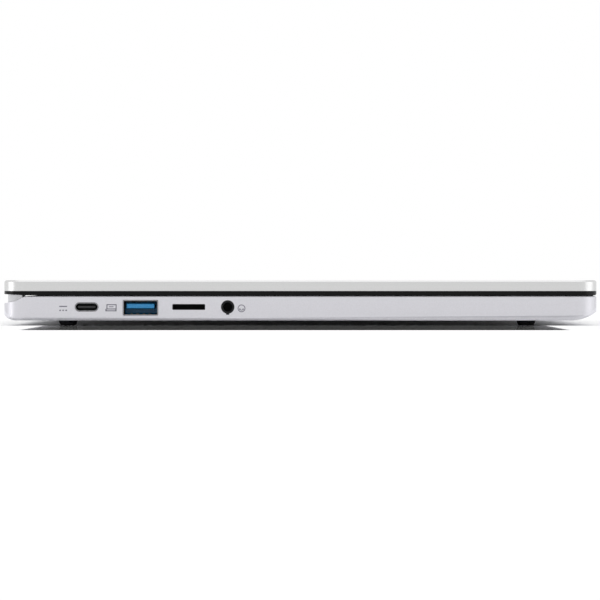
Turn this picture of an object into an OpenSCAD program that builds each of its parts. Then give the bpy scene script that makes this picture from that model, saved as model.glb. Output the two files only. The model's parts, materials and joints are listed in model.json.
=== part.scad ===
// Thin portable computer, closed, standing on its four feet.
// X runs to the user's right, Y towards the hinge, Z up. Sizes are in millimetres.
// The origin is under the middle of the machine, on the surface that it stands on.

/* [Overall size] */
// Width of the machine, left to right
body_w = 322; // [314:1:390]
// Depth of the machine, front edge to hinge edge
body_d = 224; // [218:1:272]
// Height of the base without its feet
base_h = 9.2; // [9:0.1:12]
// Height of the closed lid, cover and bezel together
lid_h = 5.7; // [5.6:0.1:7]
// Radius of the four corners, seen from above
corner_r = 8; // [6:0.5:10]

/* [Base shell] */
// Wall of the top case
wall = 1.2; // [1:0.1:1.5]
// Thickness of the deck under the hands
deck_t = 1.4; // [1.2:0.1:1.6]
// Thickness of the bottom cover
cover_t = 1.2; // [1:0.1:1.5]
// How far the sides slope in towards the floor
bevel_in = 1.8; // [1:0.1:3]
// Height of that slope at the front
bevel_front = 1.9; // [1.2:0.1:2.5]
// Height of that slope at the hinge edge
bevel_rear = 1.1; // [1:0.1:2.5]
// Chamfer along the outer edge of the deck
deck_edge = 0.4; // [0.2:0.1:0.6]
// Radius of the curve that lifts the front of the underside
chin_r = 16.4; // [14:0.2:20]
// How far back that curve starts from the front edge
chin_len = 10; // [6:0.5:11]
// Radius of the curve that lifts the rear of the underside
tail_r = 5.9; // [5.8:0.1:8]
// How far in that curve starts from the hinge edge
tail_len = 4.5; // [2:0.1:4.6]

/* [Feet] */
// Length of a foot, left to right
foot_w = 34; // [16:1:60]
// Width of a foot, front to back
foot_d = 6.4; // [5:0.1:10]
// Height of a foot below the bottom cover
foot_h = 2; // [1.5:0.1:3]
// How much a foot narrows on each side towards the floor
foot_draft = 0.8; // [0.2:0.1:1]
// Gap from a foot's end to the side of the machine
foot_in = 12; // [8:1:20]
// Middle of the rear feet, from the hinge edge
rear_foot_y = 23.4; // [16:0.1:30]
// Middle of the front feet, from the front edge
front_foot_y = 25.9; // [18:0.1:34]

/* [Keyboard] */
// Distance from one key to the next
key_pitch = 18.8; // [15:0.1:19]
// Distance from the function row to the number row
fn_pitch = 11.4; // [9:0.1:14]
// Space between two key caps
key_gap = 3; // [2:0.1:4]
// Radius of a key cap's corners
key_r = 1.6; // [0.5:0.1:2.5]
// Thickness of a key cap
key_t = 1.3; // [1:0.1:1.6]
// How far a key goes down
key_travel = 1.2; // [0.8:0.1:1.2]
// Gap between a key cap and its hole
key_clear = 0.35; // [0.3:0.05:0.5]
// How deep the key area is sunk into the deck
well_depth = 0.6; // [0.3:0.1:0.8]
// Edge of the sunk area round the keys
well_edge = 3; // [2:0.1:5]
// Web between the keys, thickness
web_t = 1; // [0.8:0.1:1.2]
// Keyboard's rear edge, from the hinge edge
keys_from_rear = 17.5; // [16:0.1:22]

/* [Touchpad] */
// Width of the touchpad
pad_w = 125; // [90:1:150]
// Depth of the touchpad
pad_d = 76; // [60:1:80]
// Thickness of the touchpad
pad_t = 1.6; // [1.2:0.1:1.8]
// Front edge of the touchpad, from the front edge of the machine
pad_from_front = 12; // [11:0.5:20]
// How far its front edge goes down in a click
pad_travel = 0.5; // [0.2:0.1:0.6]

/* [Hinge] */
// Middle of each hinge, from the middle of the machine
hinge_x = 115; // [90:1:120]
// Length of the friction barrel
barrel_len = 22; // [14:1:26]
// Outer radius of the barrel
barrel_r = 2.1; // [2:0.05:2.2]
// Radius of the hinge shaft
shaft_r = 1.2; // [1:0.05:1.4]
// Radial gap between shaft and barrel
shaft_fit = 0.04; // [0.02:0.01:0.08]
// Axis of the hinge, from the hinge edge
hinge_in = 2.8; // [2.7:0.1:3.2]
// Gap between the swinging lid edge and the trough behind the deck
trough_clear = 1.4; // [1:0.1:1.8]

/* [Ports] */
// Middle of the ports above the bottom cover's outer face
port_rise = 5.1; // [4.8:0.1:5.2]
// Round-ended port: width of its hole in the case
usb_c_w = 9; // [8.8:0.1:11]
// Round-ended port: height of its hole in the case
usb_c_h = 3.5; // [3.3:0.1:4.2]
// Round-ended port: distance from the hinge edge
usb_c_y = 31.4; // [26:0.1:36]
// Large port: width of its metal shell
usb_a_w = 13.2; // [12:0.1:16]
// Large port: height of its metal shell
usb_a_h = 5.7; // [5:0.1:5.8]
// Large port: distance from the hinge edge
usb_a_y = 51.7; // [48:0.1:54]
// Memory card slot: width
card_w = 12.4; // [11.6:0.1:15]
// Memory card slot: height
card_h = 2.2; // [1.4:0.1:2.6]
// Memory card slot: distance from the hinge edge
card_y = 69.9; // [68:0.1:74]
// Audio jack: radius of the hole for the plug
jack_r = 1.8; // [1.75:0.05:2]
// Audio jack: radius of the collar in the case
jack_collar_r = 2.55; // [2.4:0.05:2.7]
// Audio jack: distance from the hinge edge
jack_y = 84.6; // [82:0.1:92]

/* [Lid] */
// Height of the bezel at the lid's side
bezel_h = 1.6; // [1.4:0.1:2]
// How far the bezel's lower face rises at the hinge edge
bezel_rise = 0.45; // [0.1:0.05:0.7]
// Length of that rise
bezel_rise_len = 8.3; // [4:0.1:10]
// Chamfer along the bezel's lower front edge
bezel_edge = 0.5; // [0.2:0.1:0.8]
// Gap between the closed lid and the deck
lid_gap = 0.3; // [0.2:0.05:0.5]
// Wall of the lid cover
lid_wall = 1.2; // [1:0.1:1.5]
// Thickness of the lid cover's top
lid_t = 0.9; // [0.8:0.1:1.1]
// Chamfer round the lid cover's top
lid_edge = 0.6; // [0.3:0.1:0.9]
// Width of the picture area
screen_w = 301.6; // [280:0.1:302]
// Height of the picture area
screen_d = 188.5; // [170:0.1:190]
// Picture area's top edge, from the front edge of the closed lid
screen_from_front = 9; // [8.5:0.1:12]
// Thickness of the display panel
panel_t = 2.8; // [2.2:0.1:3]
// Length the camera shutter slides
shutter_travel = 6; // [4:0.5:8]

/* [Inside] */
// Radius of the fan's impeller
fan_r = 25; // [20:0.5:27]
// Number of fan blades
fan_blades = 31; // [17:2:41]
// Width of the battery
battery_w = 196; // [150:1:198]
// Depth of the battery
battery_d = 65; // [50:1:66]
// Thickness of the main circuit board
board_t = 1; // [0.8:0.1:1.2]
// Height of the tallest parts under the circuit boards
part_h = 1.2; // [0.8:0.1:1.4]
// Radius of the bosses that the circuit boards hang from
board_boss_r = 2.3; // [1.8:0.1:2.3]
// Width of the flattened heat pipe
pipe_w = 6; // [5:0.5:8]

/* [Hidden] */
$fn = 48;
half_w = body_w / 2;
half_d = body_d / 2;

// Heights, from the floor up
z_base = foot_h;
z_in = z_base + cover_t;
z_deck = z_base + base_h;
z_roof = z_deck - deck_t;
z_bezel = z_deck + lid_gap;
z_cover = z_bezel + bezel_h;
z_top = z_bezel + lid_h;
z_port = z_base + port_rise;

// Hinge axis, at half the lid's thickness
hinge_y = half_d - hinge_in;
hinge_z = (z_bezel + z_top) / 2;
trough_r = norm([hinge_in, lid_h / 2]) + trough_clear;
trough_end = 1.15;
bore_r = shaft_r + shaft_fit;
cap_gap = 0.1;
cap_r = min(lid_h / 2, hinge_in + 0.15) - cap_gap;
cap_len = barrel_len + 2;
notch_gap = 0.4;
notch_w = cap_len + 2 * notch_gap;
notch_y = hinge_y - cap_r - notch_gap;
eye_r = lid_h / 2 - lid_t - 0.1;
eye_len = 5;
eye_gap = 0.3;
eye_x = cap_len / 2 + notch_gap + lid_wall + eye_gap;
neck_t = 1.6;
bracket_t = 1;
bracket_screw_x = 7;
bracket_screw_y = hinge_y - 8.5;
bracket_screw_len = 2.4;
z_bracket = z_roof - 3.4;
arm_t = 1;
arm_w = 8;
arm_len = 22;
arm_front = notch_y - lid_wall - arm_w - 1;
z_arm = z_top - lid_t - arm_t - 0.1;
rivet_r = 1.2;
rivet_spots = [eye_x - arm_len + 4, eye_x - 4];

// Keyboard stack, from the deck down
keys_w = 15 * key_pitch;
keys_rear = half_d - keys_from_rear;
z_key = z_deck - 0.2;
z_web = z_deck - well_depth;
z_web_under = z_web - web_t;
plate_drop = 2;
z_plate = z_web_under - plate_drop;
plate_t = 0.4;
z_plate_under = z_plate - plate_t;
dome_gap = 0.1;
rim_t = 1.2;
well_r = 3;
dome_r = 2.6;
small_dome_r = 2;
sheet_t = 0.15;
key_rows = [
    [1, 1, 1, 1, 1, 1, 1, 1, 1, 1, 1, 1, 1, 1, 1],
    [1, 1, 1, 1, 1, 1, 1, 1, 1, 1, 1, 1, 1, 2],
    [1.5, 1, 1, 1, 1, 1, 1, 1, 1, 1, 1, 1, 1, 1.5],
    [1.75, 1, 1, 1, 1, 1, 1, 1, 1, 1, 1, 1, 2.25],
    [2.25, 1, 1, 1, 1, 1, 1, 1, 1, 1, 1, 2.75],
    [1.25, 1, 1, 1.25, 5.5, 1, 1]
];
arrow_left = 12;
arrow_gap = 1;
// Each arrow key: column, and 1 for the upper half of the row or -1 for the lower
arrows = [[0, -1], [1, 1], [1, -1], [2, -1]];
keys_d = fn_pitch + 5 * key_pitch;
keys_mid = keys_rear - keys_d / 2;

// Touchpad
z_pad = z_deck - 0.1;
pad_gap = 0.4;
pad_r = 1.6;
pad_y = -half_d + pad_from_front + pad_d / 2;
z_pad_under = z_pad - pad_t;
bracket_drop = pad_travel + 0.25;
z_leaf = z_pad_under - bracket_drop;
leaf_t = 0.5;
tab_w = 3;

// Electronics, from the keyboard plate down
gap = 0.3;
z_board_top = z_plate_under - gap;
z_board = z_board_top - board_t;
chip_t = 0.9;
z_chip = z_board - chip_t;
z_pipe = z_in + gap;
side_gap = wall + 1.8;
board_left = -half_w + side_gap;
board_right = 12;
board_front = half_d - 98;
board_rear = half_d - 18;
cpu_x = -50;
cpu_y = half_d - 52;
fan_x = 44;
fan_y = half_d - 50;
fan_wall = 0.6;
fan_ring = fan_r + 2;
fan_top = z_plate_under - gap;
fan_pin_r = 2;
fan_hub_r = 10;
fan_eye_r = 0.62 * fan_r;
blade_t = 0.4;
blade_sweep = 36;
pipe_t = 1.1;
fin_y = half_d - 12.2;
fin_d = 7;
fin_n = 18;
fin_pitch = 1.4;
fin_t = 0.3;
battery_front = -half_d + chin_len + 0.5;
speaker_w = 44;
speaker_d = 40;
speaker_in = 10.5;
speaker_x = half_w - speaker_in - speaker_w / 2;
sound_y = 26;

// Slots for cooling air and sound: how many on each side of the middle one, pitch, length and width
outlet_n = 9;
outlet_pitch = 3;
outlet_w = 1.8;
outlet_h = 2.6;
inlet_n = 5;
inlet_pitch = 5;
inlet_len = 16.8;
inlet_w = 1.6;
sound_n = 4;
sound_pitch = 3;
sound_len = 9;
sound_w = 1.2;
ssd_len = 80;
ssd_x = -100 - ssd_len / 2;
wifi_len = 30;
wifi_x = -2 - wifi_len;
card_board_w = 22;
card_y0 = board_front + 6;
card_t = 0.8;
card_chip_t = 0.9;
z_card = z_board - 0.7 - card_t;
socket_len = 4;
io_w = 34;
io_d = 48;
io_rear = half_d - 18;
io_left = half_w - side_gap - io_w;

// Port bodies, and the depth of the open part of a port
port_len = 14;
port_open = 12;
shell_t = 0.3;
port_sink = 0.3;
large_drop = 0.3;
notch_len = 17;
jack_w = 6.4;
jack_h = 5.2;
jack_key = 1.2;
jack_key_h = 0.4;

// Bosses beside the ports, from the middle and from the rear: side, then Y
boss_in = 9;
between_ports = half_d - (usb_c_y + usb_c_w / 2 + usb_a_y - usb_a_w / 2) / 2;
board_boss_spots = [
    [-1, board_rear - 4], [-1, between_ports], [-1, board_front + 5],
    [1, io_rear - 4], [1, between_ports]
];

// Ribs under the palm rest, beside the touchpad's bracket
rib_t = 1;
rib_left = pad_w / 2 + pad_gap + tab_w + 3;
rib_right = half_w - speaker_in - speaker_w - 1.5;

// Display panel, camera and shutter
panel_w = screen_w + 7;
panel_d = screen_d + 8;
panel_front = -half_d + screen_from_front - 3;
z_panel = z_bezel + 0.9;
strip_w = 2 * (hinge_x - eye_x - eye_len - 6);
strip_d = 8;
shutter_w = 9;
shutter_d = 2.4;
shutter_t = 0.4;
shutter_y = -half_d + 3.2;
lens_r = 0.9;

// Screws that hold the bottom cover
screw_r = 1;
screw_fit = 0.05;
screw_head_r = 2.2;
screw_head_h = 0.5;
screw_len = 5;
boss_r = 2.3;
side_screw_x = half_w - 9;
screw_spots = [
    [-side_screw_x, half_d - 12], [side_screw_x, half_d - 12],
    [-45, half_d - 11], [90, half_d - 11],
    [-side_screw_x, -5], [side_screw_x, -5],
    [-side_screw_x, -half_d + 13], [side_screw_x, -half_d + 13],
    [-battery_w / 2 - 3.2, -half_d + 13], [battery_w / 2 + 3.2, -half_d + 13]
];

// ---------- shared shapes ----------

// Rectangle with round corners, centred
module round_rect(w, d, r) {
    square([w - 2 * r, d], center = true);
    square([w, d - 2 * r], center = true);
    for (x = [-1, 1], y = [-1, 1]) translate([x * (w / 2 - r), y * (d / 2 - r)]) circle(r);
}

// Bar with half-round ends along its longer side, centred
module slot_2d(w, h) {
    square([w - h, h], center = true);
    for (x = [-1, 1]) translate([x * (w - h) / 2, 0]) circle(h / 2);
}

// Points of a circular arc from angle a to angle b
function arc(c, r, a, b, n) = [for (i = [0:n]) let (t = a + (b - a) * i / n) c + r * [cos(t), sin(t)]];

// Outline of a key: a rectangle whose corners are short arcs
function key_outline(w, d, r) = concat(
    arc([w / 2 - r, d / 2 - r], r, 0, 90, 3), arc([-w / 2 + r, d / 2 - r], r, 90, 180, 3),
    arc([-w / 2 + r, -d / 2 + r], r, 180, 270, 3), arc([w / 2 - r, -d / 2 + r], r, 270, 360, 3)
);

// Turns an outline drawn as (Y, Z) into a bar along X
module along_x(len) rotate([90, 0, 90]) linear_extrude(len, center = true) children();

// Turns an outline drawn as (Y, Z) into a hole or body going into the left side
module from_side(side, start, len) {
    translate([side * (start - len / 2), 0, 0]) along_x(len) children();
}

// Places its children once at each hinge
module at_hinges() for (x = [-1, 1]) translate([x * hinge_x, 0, 0]) mirror([x > 0 ? 1 : 0, 0, 0]) children();

// Everything above the underside, raised by rise; drawn as (Y, Z)
module above_underside(rise) {
    front_a = asin(chin_len / (chin_r - rise));
    rear_a = asin(tail_len / (tail_r - rise));
    polygon(concat(
        arc([-half_d + chin_len, z_base + chin_r], chin_r - rise, 270 - front_a, 270, 10),
        arc([half_d - tail_len, z_base + tail_r], tail_r - rise, 270, 270 + rear_a, 8),
        [[half_d, z_top], [-half_d, z_top]]
    ));
}

// Region under the deck, with the trough that the lid's rear edge swings through
module below_deck(drop) {
    c = [hinge_y, hinge_z];
    r = trough_r + drop;
    lip = hinge_y - sqrt(pow(trough_r, 2) - pow(hinge_z - z_deck, 2)) - trough_end;
    polygon(concat(
        [[-half_d, z_base - 1], [-half_d, z_deck - drop], [lip - drop / 2, z_deck - drop]],
        arc(c, r, 232, 266, 6),
        [[half_d, hinge_z - trough_r - 0.45 - drop], [half_d, z_base - 1]]
    ));
}

// Position of a key's left edge, in key widths
function left_of(row, i) = i == 0 ? 0 : left_of(row, i - 1) + row[i - 1];
function row_depth(r) = r == 0 ? fn_pitch : key_pitch;
function row_y(r) = keys_rear - (r == 0 ? fn_pitch / 2 : fn_pitch + (r - 0.5) * key_pitch);

// Outlines of keys from first to last in a row, each grown by grow
module keys_2d(r, first, last, grow) {
    for (i = [first:last]) {
        w = key_rows[r][i] * key_pitch;
        x = -keys_w / 2 + left_of(key_rows[r], i) * key_pitch + w / 2;
        translate([x, row_y(r)])
            polygon(key_outline(w - key_gap + 2 * grow, row_depth(r) - key_gap + 2 * grow, key_r + grow));
    }
}

// Outlines of the four half-height arrow keys
module arrows_2d(grow) {
    h = (key_pitch - key_gap - arrow_gap) / 2;
    for (a = arrows) {
        x = -keys_w / 2 + (arrow_left + a[0] + 0.5) * key_pitch;
        y = row_y(5) + a[1] * (h + arrow_gap) / 2;
        translate([x, y])
            polygon(key_outline(key_pitch - key_gap + 2 * grow, h + 2 * grow, key_r / 2 + grow));
    }
}

module all_keys_2d(grow) {
    for (r = [0:len(key_rows) - 1]) keys_2d(r, 0, len(key_rows[r]) - 1, grow);
    // One hole serves the two stacked arrow keys, because the gap between them is too thin for a web
    arrows_2d(grow);
    cap = key_pitch - key_gap + 2 * grow;
    translate([-keys_w / 2 + (arrow_left + 1.5) * key_pitch, row_y(5)])
        polygon(key_outline(cap, cap, key_r / 2 + grow));
}

// Caps of part of a row
module caps(r, first, last) {
    color("#c9cace") translate([0, 0, z_key - key_t]) linear_extrude(key_t) keys_2d(r, first, last, 0);
}

// ---------- base ----------

module base_outline() round_rect(body_w, body_d, corner_r);

// Thin slice of the outline, grown by grow
module slice(grow) linear_extrude(0.01) round_rect(body_w + 2 * grow, body_d + 2 * grow, corner_r + grow);

// Outline of the side slope at f times its height, higher at the front than at the rear
module slope_slice(f, inset) translate([0, 0, z_base + f * (bevel_front + bevel_rear) / 2])
    rotate([-atan(f * (bevel_front - bevel_rear) / body_d), 0, 0]) slice((f - 1) * bevel_in - inset);

// Slopes of the sides and chamfer of the deck. They run on past the sides, where the outline cuts them.
module slopes(inset) hull() {
    slope_slice(-0.5, inset);
    slope_slice(2, inset);
    translate([0, 0, z_deck - deck_edge - bevel_in]) slice(bevel_in - inset);
    translate([0, 0, z_deck + 1]) slice(-deck_edge - 1 - inset);
}

// Outer form of the base, from the floor side to the deck
module base_form() intersection() {
    linear_extrude(z_deck) base_outline();
    slopes(0);
}

// Slot in the trough, wide enough for the bracket's barrel to come up through
module hinge_slot() translate([0, hinge_y, z_base + base_h / 2])
    cube([barrel_len + 2 * gap, 2 * barrel_r + 0.2, 2 * base_h], center = true);

module side_ports_cut(side) {
    in = wall + 2;
    translate([0, half_d, 0]) {
        translate([0, -usb_c_y, z_port]) from_side(side, half_w + 1, in) slot_2d(usb_c_w, usb_c_h);
        translate([0, -usb_a_y, z_port - large_drop])
            from_side(side, half_w + 1, in) round_rect(usb_a_w + 0.2, usb_a_h + 0.2, 0.4);
    }
}

module top_case() color("#d3d2d7") difference() {
    intersection() {
        base_form();
        along_x(body_w + 2) intersection() {
            above_underside(cover_t);
            below_deck(0);
        }
    }
    difference() {
        // Hollow inside
        intersection() {
            linear_extrude(z_roof) round_rect(body_w - 2 * wall, body_d - 2 * wall, corner_r - wall);
            slopes(wall);
            along_x(body_w + 2) below_deck(deck_t);
        }
        // Rim that carries the keyboard plate
        translate([0, keys_mid, z_plate]) linear_extrude(z_deck) difference() {
            square([keys_w + 2 * well_edge, keys_d + 2 * well_edge], center = true);
            square([keys_w + 2 * (well_edge - rim_t), keys_d + 2 * (well_edge - rim_t)], center = true);
        }
        // Web over the keyboard
        translate([0, keys_mid, z_web_under + 5])
            cube([keys_w + 2 * well_edge, keys_d + 2 * well_edge, 10], center = true);
        // Bosses for the cover screws
        for (p = screw_spots) translate([p[0], p[1], z_in]) cylinder(r = boss_r, h = base_h);
        // Bosses for the hinge brackets
        at_hinges() for (x = [-1, 1]) translate([x * bracket_screw_x, bracket_screw_y, z_bracket + bracket_t])
            cylinder(r = boss_r, h = base_h);
        // Bosses for the circuit boards, each with a pin through the board
        for (p = board_boss_spots) translate([p[0] * (half_w - boss_in), p[1], 0]) {
            translate([0, 0, z_board_top]) cylinder(r = board_boss_r, h = base_h);
            translate([0, 0, z_board - 0.4]) cylinder(r = rivet_r, h = base_h);
        }
        // Ribs under the palm rest
        for (x = [-1, 1]) {
            for (i = [0:3]) translate([x * (rib_left + rib_right) / 2, -half_d + 24 + 20 * i, z_roof])
                cube([rib_right - rib_left, rib_t, 2 * rib_t], center = true);
            for (i = [0:2]) translate([x * (rib_left + i * (rib_right - rib_left) / 2), -half_d + 54, z_roof])
                cube([rib_t, 60 + rib_t, 2 * rib_t], center = true);
        }
    }
    // Sunk key area and a hole for each key
    translate([0, keys_mid, z_web]) linear_extrude(base_h)
        round_rect(keys_w + 2 * well_edge, keys_d + 2 * well_edge, well_r);
    translate([0, 0, z_web_under - 1]) linear_extrude(base_h) all_keys_2d(key_clear);
    // Touchpad
    translate([0, pad_y, z_roof - 1]) linear_extrude(base_h)
        round_rect(pad_w + 2 * pad_gap, pad_d + 2 * pad_gap, pad_r + pad_gap);
    // Screw holes
    for (p = screw_spots) translate([p[0], p[1], z_in - 1])
        cylinder(r = screw_r + screw_fit, h = screw_len + 1);
    at_hinges() {
        hinge_slot();
        for (x = [-1, 1]) translate([x * bracket_screw_x, bracket_screw_y, z_bracket])
            cylinder(r = screw_r + screw_fit, h = bracket_t + bracket_screw_len);
    }
    // Ports
    for (side = [-1, 1]) side_ports_cut(side);
    translate([0, half_d - card_y, z_port]) from_side(-1, half_w + 1, wall + 2)
        round_rect(card_w, card_h, 0.4);
    translate([0, half_d - jack_y, z_port]) from_side(-1, half_w + 1, wall + 2) jack_collar_2d(0);
    // Lock slot on the right
    translate([0, half_d - card_y, z_port]) from_side(1, half_w + 1, wall + 2) slot_2d(7, 3);
    // Air outlet behind the fins
    for (i = [-outlet_n:outlet_n])
        translate([fan_x + i * outlet_pitch, half_d, (z_in + hinge_z - trough_r) / 2])
            cube([outlet_w, 4 * wall, outlet_h], center = true);
}

module bottom_cover() color("#c9c8cd") difference() {
    intersection() {
        base_form();
        along_x(body_w + 2) difference() {
            above_underside(0);
            above_underside(cover_t);
        }
    }
    // Screw holes and their head seats
    for (p = screw_spots) translate([p[0], p[1], 0]) {
        cylinder(r = screw_r + 2 * screw_fit, h = z_deck);
        cylinder(r = screw_head_r + screw_fit, h = z_base + screw_head_h + screw_fit);
    }
    // Air inlet under the fan
    for (i = [-inlet_n:inlet_n], j = [-1, 1])
        translate([fan_x + i * inlet_pitch, fan_y + j * (inlet_len / 2 + inlet_w), z_base])
            linear_extrude(4 * cover_t, center = true) rotate(90) slot_2d(inlet_len, inlet_w);
    // Sound outlets under the speakers
    for (side = [-1, 1], i = [-sound_n:sound_n])
        translate([side * (speaker_x + i * sound_pitch), battery_front + sound_y, z_base])
            linear_extrude(4 * cover_t, center = true) rotate(90) slot_2d(sound_len, sound_w);
}

// Screw seen from below: a head and a shank that points up
module screw(len) {
    cylinder(r = screw_head_r, h = screw_head_h);
    cylinder(r = screw_r, h = len);
}

module bottom_screws() color("#8b8c90") for (p = screw_spots) {
    translate([p[0], p[1], z_base]) difference() {
        screw(cover_t + screw_len - 1);
        // Cross recess
        for (a = [0, 90]) rotate(a) cube([2.2, 0.5, 0.6], center = true);
    }
}

// Rubber foot, narrower at the floor
module foot() hull() {
    translate([0, 0, z_base - 0.1]) linear_extrude(0.1) slot_2d(foot_w, foot_d, $fn = 32);
    linear_extrude(0.1) slot_2d(foot_w - 2 * foot_draft, foot_d - 2 * foot_draft, $fn = 32);
}

module feet(y) color("#232326") for (x = [-1, 1])
    translate([x * (half_w - foot_in - foot_w / 2), y, 0]) foot();

module front_feet() feet(-half_d + front_foot_y);
module rear_feet() feet(half_d - rear_foot_y);

// ---------- keyboard ----------

module keyboard_plate() color("#9a9ca1") translate([0, keys_mid, z_plate_under]) linear_extrude(plate_t)
    square([keys_w + 2 * well_edge, keys_d + 2 * well_edge], center = true);

module key_domes() color("#e4e2dc") {
    inner_w = keys_w + 2 * (well_edge - rim_t) - 0.4;
    inner_d = keys_d + 2 * (well_edge - rim_t) - 0.4;
    dome_h = z_key - key_t - key_travel - dome_gap - z_plate;
    translate([0, keys_mid, z_plate]) linear_extrude(sheet_t) square([inner_w, inner_d], center = true);
    for (r = [0:len(key_rows) - 1], i = [0:len(key_rows[r]) - 1]) {
        x = -keys_w / 2 + (left_of(key_rows[r], i) + key_rows[r][i] / 2) * key_pitch;
        translate([x, row_y(r), z_plate]) cylinder(r = dome_r, h = dome_h, $fn = 24);
    }
    for (a = arrows) {
        x = -keys_w / 2 + (arrow_left + a[0] + 0.5) * key_pitch;
        translate([x, row_y(5) + a[1] * key_pitch / 4, z_plate])
            cylinder(r = small_dome_r, h = dome_h, $fn = 24);
    }
}

module function_keys() caps(0, 0, 13);
module power_key() caps(0, 14, 14);
module number_keys() caps(1, 0, 12);
module backspace_key() caps(1, 13, 13);
module tab_key() caps(2, 0, 0);
module upper_letter_keys() caps(2, 1, 13);
module caps_key() caps(3, 0, 0);
module home_letter_keys() caps(3, 1, 11);
module enter_key() caps(3, 12, 12);
module left_shift_key() caps(4, 0, 0);
module lower_letter_keys() caps(4, 1, 10);
module right_shift_key() caps(4, 11, 11);
module modifier_keys() {
    caps(5, 0, 3);
    caps(5, 5, 6);
}
module space_bar() caps(5, 4, 4);
module arrow_keys() color("#c9cace") translate([0, 0, z_key - key_t]) linear_extrude(key_t) arrows_2d(0);

// ---------- touchpad ----------

module touchpad() color("#c4c5ca") translate([0, pad_y, z_pad_under]) linear_extrude(pad_t)
    round_rect(pad_w, pad_d, pad_r);

module touchpad_bracket() color("#8f9196") {
    full_w = pad_w + 2 * (pad_gap + tab_w);
    difference() {
        translate([-full_w / 2, pad_y - pad_d / 2, z_leaf - leaf_t]) cube([full_w, pad_d, leaf_t]);
        // Windows that lighten the leaf
        for (x = [-1, 1]) translate([x * pad_w / 4, pad_y + 2, z_leaf])
            cube([pad_w / 3, pad_d / 2, 4], center = true);
    }
    // Side tabs that reach up to the deck
    for (x = [-1, 1]) translate([x * (full_w - tab_w + gap) / 2, pad_y, (z_leaf + z_roof) / 2])
        cube([tab_w - gap, pad_d, z_roof - z_leaf], center = true);
    // Ledge under the rear edge, where the pad hinges
    translate([-pad_w / 2, pad_y + pad_d / 2 - 2, z_leaf]) cube([pad_w, 2, bracket_drop - 0.05]);
}

module touchpad_switch() color("#d9d4c4") translate([0, pad_y - pad_d / 2 + 6, z_leaf])
    cylinder(r = 2.5, h = 0.2);

// ---------- electronics ----------

// Space that a port's body takes out of a circuit board
module port_notch(side, y, w) translate([side * half_w, half_d - y, z_board])
    cube([2 * notch_len, w + 2 * gap, base_h], center = true);

module port_notches(side) {
    port_notch(side, usb_c_y, usb_c_w);
    port_notch(side, usb_a_y, usb_a_w);
}

// Holes for the pins of the bosses
module pin_holes() for (p = board_boss_spots) translate([p[0] * (half_w - boss_in), p[1], z_board - 1])
    cylinder(r = rivet_r + 0.1, h = board_t + 2);

// Rows of parts soldered under a board: each row has X, Y, width, depth, height
module board_parts(rows) for (p = rows) translate([p[0], p[1], z_board + 0.05 - p[4] / 2])
    cube([p[2], p[3], p[4] + 0.1], center = true);

module mainboard() color("#1f5a3a") {
    difference() {
        translate([board_left, board_front, z_board])
            cube([board_right - board_left, board_rear - board_front, board_t]);
        port_notches(-1);
        port_notch(-1, card_y, card_w + 2);
        port_notch(-1, jack_y, jack_w);
        pin_holes();
    }
    // Sockets for the two plug-in cards
    for (x = [ssd_x, wifi_x])
        translate([x - socket_len, card_y0, z_card]) cube([socket_len, card_board_w, z_board - z_card]);
    // Chokes beside the processor
    board_parts([for (i = [0:3]) [cpu_x - 27, cpu_y - 14 + 8 * i, 6, 6, part_h]]);
    // Capacitors in front of it
    board_parts([for (i = [0:6]) [cpu_x - 12 + 4 * i, cpu_y - 16.5, 1.6, 2.4, 0.8]]);
    // Controllers
    board_parts([[cpu_x - 68, cpu_y + 8, 12, 12, 0.9], [cpu_x - 68, cpu_y - 10, 8, 8, 0.8]]);
    board_parts([for (i = [0:2]) [board_right - 6 - 9 * i, cpu_y - 8, 5, 5, 0.8]]);
    // Connectors for the battery, the display and the fan
    board_parts([
        [board_right - 26, board_front + 2.6, 16, 4, part_h], [cpu_x + 14, board_rear - 3, 18, 4, part_h],
        [board_right - 3.5, cpu_y + 8, 4, 6, part_h]
    ]);
}

// Plug-in card with its chips on the lower face
module plug_in_card(x, len) {
    translate([x, card_y0, z_card]) cube([len, card_board_w, card_t]);
    for (i = [0:floor(len / 26)]) translate([x + 5 + i * 22, card_y0 + 3, z_card - card_chip_t])
        cube([16, card_board_w - 6, card_chip_t]);
}

module solid_state_drive() color("#16325c") plug_in_card(ssd_x, ssd_len);
module wireless_card() color("#23406e") plug_in_card(wifi_x, wifi_len);

module processor() color("#33363b") {
    translate([cpu_x, cpu_y, z_board - chip_t / 2 + 0.2]) cube([30, 24, chip_t - 0.4], center = true);
    translate([cpu_x, cpu_y, z_chip + chip_t / 2]) cube([18, 12, chip_t], center = true);
}

module memory_chips() color("#17181a") for (i = [0:3])
    translate([cpu_x - 46, cpu_y - 11 + i * 12, z_board - 0.5]) cube([14, 9, 1], center = true);

module cold_plate() color("#b87b4a") translate([cpu_x, cpu_y, (z_chip + z_pipe + pipe_t) / 2])
    cube([34, 28, z_chip - z_pipe - pipe_t], center = true);

// Heat pipe: from the cold plate back to the fins, then along them, with round ends
module heat_pipe() color("#c98350") translate([0, 0, z_pipe]) linear_extrude(pipe_t) {
    start = [cpu_x, cpu_y];
    bend = [fan_x - fan_ring - 8, fin_y];
    end = [fan_x + fan_ring, fin_y];
    a = atan2(bend[1] - start[1], bend[0] - start[0]);
    r = pipe_w / 2;
    mitre = r / cos(a / 2) * [cos(90 + a / 2), sin(90 + a / 2)];
    polygon(concat(
        arc(start, r, a + 90, a + 270, 12), [bend - mitre],
        arc(end, r, -90, 90, 12), [bend + mitre]
    ));
}

module fin_stack() color("#c08a5a") {
    z0 = z_pipe + pipe_t;
    h = fan_top - z0;
    for (i = [-fin_n:fin_n]) translate([fan_x + i * fin_pitch, fin_y, z0 + h / 2])
        cube([fin_t, fin_d, h], center = true);
    // Folded tips that join the fins above and below
    for (z = [z0 + 0.1, z0 + h - 0.1]) translate([fan_x, fin_y, z])
        cube([2 * fin_n * fin_pitch + fin_t, fin_d, 0.2], center = true);
}

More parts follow.
